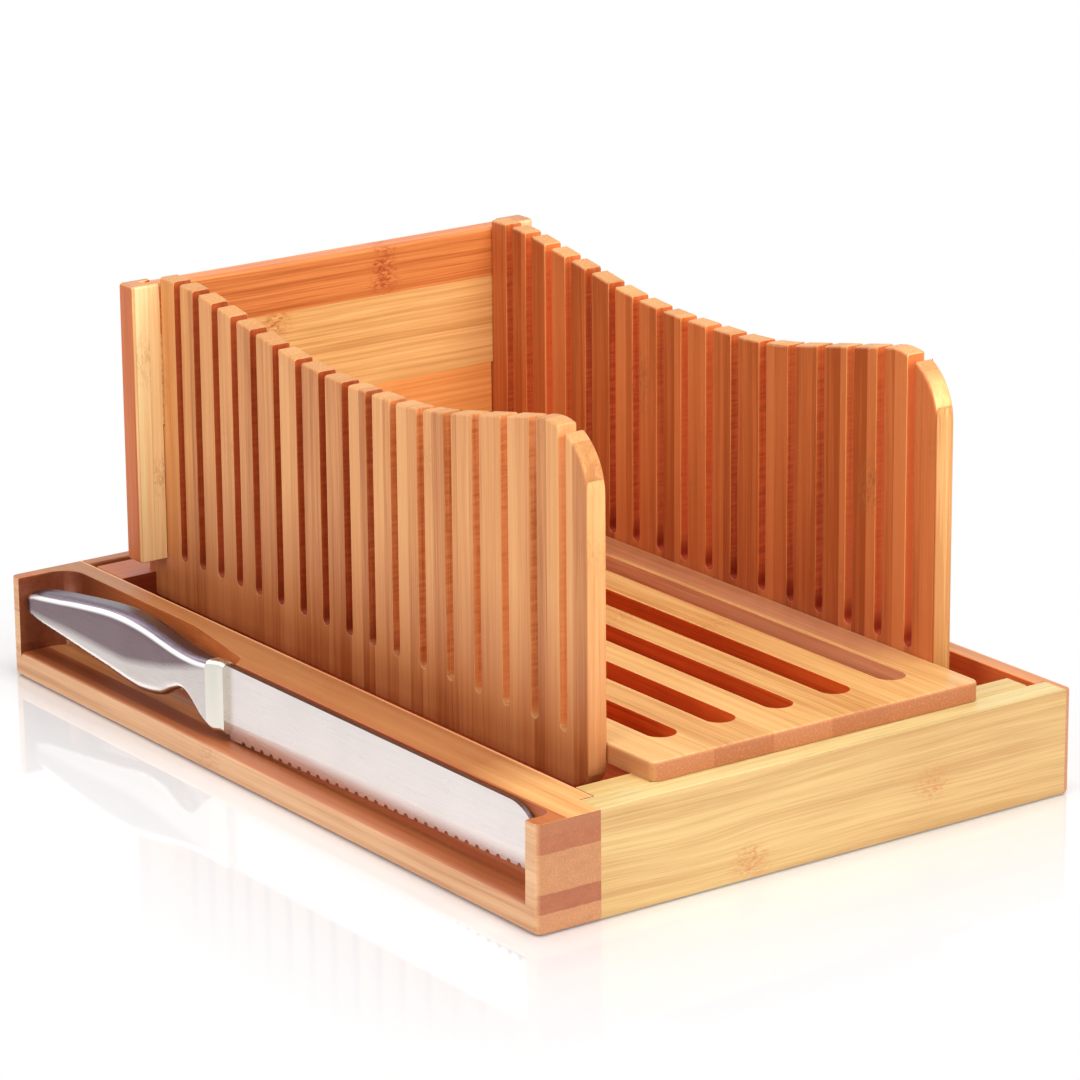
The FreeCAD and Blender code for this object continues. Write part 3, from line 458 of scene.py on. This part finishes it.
# painted shade at the rear of the finger recess
recessRearShade = {"facing": ("X", -1), "spans": {"Y": (0.115, 0.16, 0.18, 0.19)}, "tone": (0.2, 0.04, 0.012)}
partition = {"grain": "Y", "across": "Z", "stripWidth": 0.0135, "seed": 7.0, "tone": (0.68, 0.18, 0.046),
             "faces": {"Z": (0.4, 0.15, 0.048)}, "layers": blockLayers,
             "patches": [pocketEndShade, frontTop, innerEdgeHighlight, recessRearShade]}
dressBamboo("partition_wall", partition)

# the tray's rails and floor
frontRail = {"grain": "X", "across": "Z", "stripWidth": 0.0413, "tone": (0.65, 0.425, 0.17), "contrast": 0.7,
             "knuckle": 0.0, "knots": [(0.0559, 0.0193), (-0.0292, 0.0076)], "knotReach": (0.011, 0.009),
             "knuckleColour": (0.55, 0.24, 0.08), "faces": {"Z": (0.72, 0.57, 0.25)}, "waver": 0.006,
             "endTone": (0.6, 0.28, 0.13)}
dressBamboo("front_rail", frontRail)
railOutside = {"facing": ("X", 1), "spans": {"X": (0.1195, 0.12, 0.1225, 0.123)}, "tone": (0.62, 0.28, 0.11)}
rightRail = {"grain": "Y", "across": "Z", "stripWidth": 0.0205, "seed": 9.0, "tone": (0.9, 0.2, 0.05),
             "faces": {"Z": (0.85, 0.36, 0.12)}, "endTone": (0.55, 0.25, 0.13), "patches": [railOutside]}
dressBamboo("right_rail", rightRail)
backRail = {"grain": "X", "across": "Z", "stripWidth": 0.0205, "seed": 11.0, "tone": (0.5, 0.17, 0.06)}
dressBamboo("back_rail", backRail)
trayFloor = {"grain": "Y", "across": "X", "stripWidth": 0.02, "seed": 13.0, "tone": (0.55, 0.1, 0.025)}
dressBamboo("tray_floor", trayFloor)

# the rack: battens, slatted board, guides and dowels
frontBatten = {"grain": "X", "across": "Y", "stripWidth": 0.03, "seed": 3.0, "tone": (0.69, 0.49, 0.19),
               "contrast": 0.5}
dressBamboo("front_batten", frontBatten)
rearBatten = {"grain": "X", "across": "Z", "stripWidth": 0.02, "seed": 15.0, "tone": (0.21, 0.03, 0.008),
              "faces": {"Z": (0.5, 0.12, 0.03)}}
dressBamboo("rear_batten", rearBatten)
# painted shade and red bounce light on the crumb slots' walls
crumbSlotShade = {"facing": ("X", 0), "spans": {"X": (-0.0484, -0.048, 0.0696, 0.07)}, "tone": (0.85, 0.14, 0.021)}
boardLeft = {"facing": ("X", -1), "spans": {"X": (-0.066, -0.065, -0.0595, -0.059)},
             "tone": (0.58, 0.22, 0.08), "weight": 0.85}
# painted light on the last slot's wall that faces left
lastSlotLight = {"facing": ("X", -1), "spans": {"X": (0.063, 0.0635, 0.0705, 0.071)}, "tone": (1.0, 0.5, 0.24)}
# painted shade and a painted reflection of the right guide on the board's margin beside it
rightMarginReflection = {"facing": ("Z", 1), "tone": (0.52, 0.2, 0.095), "weight": 0.9,
               "spans": {"X": (0.0705, 0.072, 0.0866, 0.087), "Y": (-0.14, -0.11, 0.2, 0.21)}}
board = {"grain": "Y", "across": "X", "stripWidth": 0.0267, "stripStart": -0.0642, "seed": 17.0,
         "tone": (0.72, 0.4, 0.14), "stripTone": 0.25, "endTone": (0.56, 0.21, 0.082), "varnish": 0.35,
         "patches": [crumbSlotShade, boardLeft, lastSlotLight, rightMarginReflection]}
dressBamboo("slatted_board", board)
slotSpan = (-0.1409, -0.1405, 0.15, 0.1504)
rearSpan = (-0.05, 0.015, 0.15, 0.1504)
footRise = (0.045, 0.0495, 0.054, 0.06)
# painted light and shade on the guides' slot walls, and painted shade at the slots' feet
slotWallLightAndShade = {"facing": ("Y", 0), "turn": (0.95, 0.99), "spans": {"Y": slotSpan}, "sawn": True}
slotFootShade = {"facing": ("X", 0), "turn": (0.5, 0.2), "spans": {"Y": slotSpan, "Z": footRise}}
# painted shade low on the left guide's outer face, fading upwards
guideFootShade = {"facing": ("X", -1), "spans": {"Z": (0.02, 0.03, 0.04, 0.1)}, "tone": (0.48, 0.14, 0.04),
             "weight": 0.8}
# painted shade low on the left guide's front face, fading upwards
guideFrontShade = {"facing": ("Y", -1), "tone": (0.56, 0.18, 0.062), "weight": 0.7,
              "spans": {"Y": (-0.15, -0.1485, -0.1415, -0.1409), "Z": (0.02, 0.025, 0.05, 0.13)}}
leftGuide = {"grain": "Z", "across": "Y", "stripWidth": 0.0079, "seed": 19.0, "tone": (0.67, 0.28, 0.09),
             "stripTone": 0.6, "knuckle": 0.3, "endTone": (0.66, 0.32, 0.11), "faces": {"Y": (0.74, 0.36, 0.12)},
             # the left guide's slot walls: painted light towards the front, painted shade towards the back
             "patches": [{**slotWallLightAndShade, "tone": (0.9, 0.37, 0.13)},
                         {**slotWallLightAndShade, "spans": {"Y": rearSpan}, "tone": (0.52, 0.1, 0.026)},
                         {**slotFootShade, "spans": {"Y": rearSpan, "Z": footRise}, "tone": (0.4, 0.07, 0.02)},
                         guideFootShade, guideFrontShade]}
dressBamboo("left_guide", leftGuide)
# the right guide's deep red tone is partly its own colour and partly painted shade and red bounce light on its inner
# faces
rightGuide = {"grain": "Z", "across": "Y", "stripWidth": 0.0079, "seed": 31.0, "tone": (0.58, 0.16, 0.045),
              "stripTone": 0.9, "knuckle": 0.3, "knots": [(0.1179, 0.038), (0.108, -0.105)],
              "endTone": (0.72, 0.36, 0.13), "faces": {"Y": (0.86, 0.46, 0.16)},
              # the right guide's slot walls: painted shade with red bounce light
              "patches": [{**slotWallLightAndShade, "tone": (0.8, 0.19, 0.04)}, {**slotFootShade, "tone": (0.5, 0.06, 0.012)}]}
dressBamboo("right_guide", rightGuide)
dowels = {"grain": "X", "across": "Y", "stripWidth": 0.01, "tone": (0.75, 0.45, 0.2), "easing": 0.0002}
dressBamboo("guide_dowels", dowels)
dressBamboo("batten_dowels", {**dowels, "grain": "Z"})

# the stop panel: three staves between two cleats
upperStave = {"grain": "X", "across": "Z", "stripWidth": 0.3, "seed": 21.0, "tone": (0.78, 0.26, 0.066),
              "knots": [(0.0333, 0.1506)], "knotReach": (0.008, 0.014), "knuckleColour": (0.45, 0.08, 0.02),
              "knuckle": 0.0, "contrast": 1.1, "waver": 0.002, "streakScale": (2.0, 560, 560)}
dressBamboo("upper_stave", upperStave)
middleStave = {**upperStave, "seed": 23.0, "tone": (0.93, 0.54, 0.19), "knots": [(-0.0197, 0.1361)],
               "knotReach": (0.009, 0.007), "knuckleColour": (0.6, 0.2, 0.06), "contrast": 0.8}
dressBamboo("middle_stave", middleStave)
lowerStave = {**upperStave, "seed": 25.0, "tone": (0.86, 0.33, 0.085), "knots": []}
dressBamboo("lower_stave", lowerStave)
cleat = {"grain": "Z", "across": "X", "stripWidth": 0.006, "seed": 27.0, "tone": (0.98, 0.66, 0.31),
         "faces": {"X": (0.64, 0.165, 0.038)}, "contrast": 0.7}
dressBamboo("left_cleat", cleat)
dressBamboo("right_cleat", {**cleat, "seed": 29.0})

# the knife
blade = {"brushScale": (1500, 40, 2500), "roughness": 0.3,
         "tones": [(0.3, (0.67, 0.61, 0.59)), (0.7, (0.76, 0.7, 0.68))],
         "darkSpineReflections": [(0.3, (0.16, 0.13, 0.13)), (0.7, (0.2, 0.16, 0.16))]}
grip = {"brushScale": (2200, 60, 2200), "roughness": 0.2, "flatRoughness": 0.1,
        "tones": [(0.3, (0.54, 0.49, 0.47)), (0.7, (0.62, 0.57, 0.55))],
        "darkFlatReflections": [(0.3, (0.18, 0.126, 0.14)), (0.7, (0.22, 0.155, 0.168))], "highlightTone": (0.98, 0.96, 0.96),
        "darkSpineReflections": [(0.3, (0.12, 0.09, 0.115)), (0.7, (0.16, 0.12, 0.15))],
        # the lower edge of the flats' painted dark reflection and the middle of the painted highlight line above it:
        # along and rise, in millimetres
        "flatLow": [(40, 40), (43, 38), (56, 34), (70, 31.2), (92, 26.7), (105, 26.7), (132, 28.2), (148, 28.1),
                    (168, 27.8), (176, 27.5)],
        "flatHigh": [(40, 38.6), (44, 38.1), (52, 37.4), (66, 38.8), (81, 41.6), (96, 43.1), (111, 42.6),
                     (127, 40.7), (144, 38.5), (166, 34.9), (175, 33.2)],
        "collarSpan": (0.0324, 0.033, 0.043, 0.0436), "collarTone": (0.72, 0.69, 0.61)}
# how the finished grip runs: along, lowest, highest, thickness, and middle from the tray's left side, in millimetres
gripRun = [(36, 12.9, 40.9, 6, 10), (41, 12.2, 40.5, 8.2, 9.9), (47, 15.2, 40, 9.4, 9.8), (51, 19.2, 39.8, 10, 9.7),
           (55.5, 22.6, 39.9, 10.5, 9.6), (60, 23.7, 40.3, 11, 9.5), (66, 22, 41.1, 11.4, 9.3),
           (75, 17.7, 42.6, 11.9, 9.1), (87, 15.9, 44.3, 12.5, 8.9), (98, 16.8, 44.9, 13, 8.6),
           (110, 18.5, 44.4, 13, 8.4), (127, 20.4, 42.7, 12.7, 8), (145, 22.4, 40.4, 12, 7.6),
           (160, 23.8, 38.2, 11.2, 7.3), (169.5, 25.2, 35.9, 10, 7.1), (173.2, 26.6, 34.2, 8, 7)]
# where the solid grip is measured, in metres: lines from well outside it, beside the tang and short of its end
gripLines = {"bladePlane": -0.1115, "besideTang": 0.0015, "lastAlong": 0.1722,
             "above": 0.2, "below": -0.1, "left": -0.2}
trayLeft = -0.1215
tangCuts = [0.04, 0.046, 0.052, 0.058, 0.062, 0.066, 0.072, 0.08, 0.09, 0.1, 0.11, 0.12, 0.13, 0.14]


def smoothRun(place):
    # the run's numbers at a place along, on a smooth line through its points
    last = len(gripRun) - 2
    step = max(0, min(last, sum(point[0] <= place for point in gripRun) - 1))
    before, start, end, after = (gripRun[max(0, min(last + 1, step + turn))] for turn in (-1, 0, 1, 2))
    share = min(1, max(0, (place - start[0]) / (end[0] - start[0])))
    found = []
    for first, low, high, second in zip(before[1:], start[1:], end[1:], after[1:]):
        slope = (high - first) / 2
        bend = first - 2.5 * low + 2 * high - second / 2
        twist = 1.5 * (low - high) + (second - first) / 2
        found.append(low + share * (slope + share * (bend + share * twist)))
    return found


def solidEdge(point, direction):
    # the outermost skin of the solid grip that a line from the point meets
    for part in ("knife_handle", "knife_bolster"):
        met = skins[part].ray_cast(Vector(point), Vector(direction))[0]
        if met is not None:
            return met
    return Vector(point)


def slimGrip(form):
    # move each point of the solid grip, and of the tang in it, to where the finished grip runs
    for along in tangCuts:
        everything = form.verts[:] + form.edges[:] + form.faces[:]
        bmesh.ops.bisect_plane(form, geom=everything, plane_co=(0, along, 0), plane_no=(0, 1, 0))
    middleAcross = gripLines["bladePlane"]
    across = middleAcross + gripLines["besideTang"]
    for vert in form.verts:
        along = vert.co.y
        if along * 1000 <= gripRun[0][0]:
            continue
        inner = min(along, gripLines["lastAlong"])
        top = solidEdge((across, inner, gripLines["above"]), (0, 0, -1)).z
        bottom = solidEdge((across, inner, gripLines["below"]), (0, 0, 1)).z
        left = solidEdge((gripLines["left"], inner, (top + bottom) / 2), (1, 0, 0)).x
        low, high, thick, middle = (number / 1000 for number in smoothRun(along * 1000))
        vert.co.z = low + (vert.co.z - bottom) / (top - bottom) * (high - low)
        vert.co.x = middle + trayLeft + (vert.co.x - middleAcross) * thick / 2 / (middleAcross - left)
    return form


gripSteel = makeSteel("gripSteel", grip)
standIn("knife_blade", slimGrip(mergedForm("knife_blade")), makeSteel("bladeSteel", blade))
for part in ("knife_bolster", "knife_handle"):
    standIn(part, slimGrip(mergedForm(part)), gripSteel)
print("knife done")

# the floor, the lamps and the camera; lengths are in metres
floorSettings = {"size": 6.0, "drop": 0.0003, "fadeStart": 0.015, "fadeEnd": 0.1, "colour": (0.97, 0.97, 0.97),
                 "seenColour": (0.79, 0.79, 0.79), "lift": 0.1, "roughness": 0.05, "mirror": 3.0}
lamps = {
    "keyLamp": {"place": (0.25, -2.0, 1.0), "size": 1.1, "power": 28},
    "sideLamp": {"place": (-1.6, -0.4, 0.9), "size": 1.0, "power": 12},
    "topLamp": {"place": (0.1, -0.2, 1.8), "size": 1.0, "power": 23},
    "rimLamp": {"place": (-0.6, 1.6, 1.2), "size": 0.8, "power": 6},
}
worldLight = 0.28
cameraView = {"place": (-1.039103, -1.467694, 0.62498), "yaw": 35.538, "pitch": 16.953, "roll": -0.491,
              "lens": 164.26, "nearest": 0.1, "farthest": 50}


def seenRays(tree):
    # rays that come from the camera, and those that reach it mirrored or through something too
    path = shade(tree, "ShaderNodeLightPath").outputs
    seen = calc(tree, "MAXIMUM", path["Is Camera Ray"], path["Is Glossy Ray"])
    return path["Is Camera Ray"], calc(tree, "MAXIMUM", seen, path["Is Transmission Ray"])


def makeFloor():
    # a pale floor that mirrors the tray a little and turns plain white away from it
    shape = bmesh.new()
    bmesh.ops.create_grid(shape, x_segments=1, y_segments=1, size=floorSettings["size"])
    bmesh.ops.translate(shape, verts=shape.verts, vec=(0, 0, -floorSettings["drop"]))
    floor, mesh = addObject("floor", shape, "floor")
    material, tree, surface = newMaterial("floorMaterial")
    place = shade(tree, "ShaderNodeTexCoord").outputs["Object"]
    parts = shade(tree, "ShaderNodeSeparateXYZ", {"Vector": place}).outputs
    beside = [calc(tree, "MAXIMUM", calc(tree, "SUBTRACT", calc(tree, "ABSOLUTE", parts[axis]), half), 0.0)
              for axis, half in zip("XY", cadBox[1])]
    fromCamera, seen = seenRays(tree)
    paint = blendColours(tree, fromCamera, floorSettings["colour"], floorSettings["seenColour"])
    tree.links.new(paint, surface.inputs["Base Color"])
    surface.inputs["Roughness"].default_value = floorSettings["roughness"]
    surface.inputs["IOR"].default_value = floorSettings["mirror"]
    white = shade(tree, "ShaderNodeEmission", {"Color": (1, 1, 1, 1), "Strength": 1.0})
    far = fade(tree, distance(tree, *beside), floorSettings["fadeStart"], floorSettings["fadeEnd"])
    lift = calc(tree, "ADD", floorSettings["lift"], calc(tree, "MULTIPLY", far, 1 - floorSettings["lift"]))
    factor = calc(tree, "MULTIPLY", seen, lift)
    mixed = shade(tree, "ShaderNodeMixShader", {0: factor, 1: surface.outputs[0], 2: white.outputs[0]})
    tree.links.new(mixed.outputs[0], tree.nodes["Material Output"].inputs["Surface"])
    mesh.materials.append(material)


def makeWorld():
    # soft light all round, and plain white where it is seen
    world = bpy.data.worlds.new("studio")
    world.use_nodes = True
    tree = world.node_tree
    tree.nodes.clear()
    soft = shade(tree, "ShaderNodeBackground", {"Color": (1, 1, 1, 1), "Strength": worldLight})
    white = shade(tree, "ShaderNodeBackground", {"Color": (1, 1, 1, 1), "Strength": 1.0})
    mixed = shade(tree, "ShaderNodeMixShader", {0: seenRays(tree)[1], 1: soft.outputs[0], 2: white.outputs[0]})
    shade(tree, "ShaderNodeOutputWorld", {"Surface": mixed.outputs[0]})
    bpy.context.scene.world = world


def makeLamp(name, lamp):
    light = bpy.data.lights.new(name, "AREA")
    light.energy = lamp["power"]
    light.size = lamp["size"]
    made = bpy.data.objects.new(name, light)
    made.location = lamp["place"]
    made.rotation_mode = "QUATERNION"
    made.rotation_quaternion = (-Vector(lamp["place"])).to_track_quat("-Z", "Y")
    bpy.context.scene.collection.objects.link(made)


def makeCamera():
    data = bpy.data.cameras.new("camera")
    data.lens = cameraView["lens"]
    data.clip_start = cameraView["nearest"]
    data.clip_end = cameraView["farthest"]
    made = bpy.data.objects.new("camera", data)
    turn = Matrix.Rotation(-math.radians(cameraView["yaw"]), 4, "Z")
    turn = turn @ Matrix.Rotation(math.radians(90 - cameraView["pitch"]), 4, "X")
    turn = turn @ Matrix.Rotation(math.radians(cameraView["roll"]), 4, "Z")
    made.matrix_world = Matrix.Translation(cameraView["place"]) @ turn
    bpy.context.scene.collection.objects.link(made)
    bpy.context.scene.camera = made


makeFloor()
makeWorld()
for lampName, lampSettings in lamps.items():
    makeLamp(lampName, lampSettings)
makeCamera()
bpy.context.scene.view_settings.view_transform = "Standard"
print("floor, lamps and camera done")
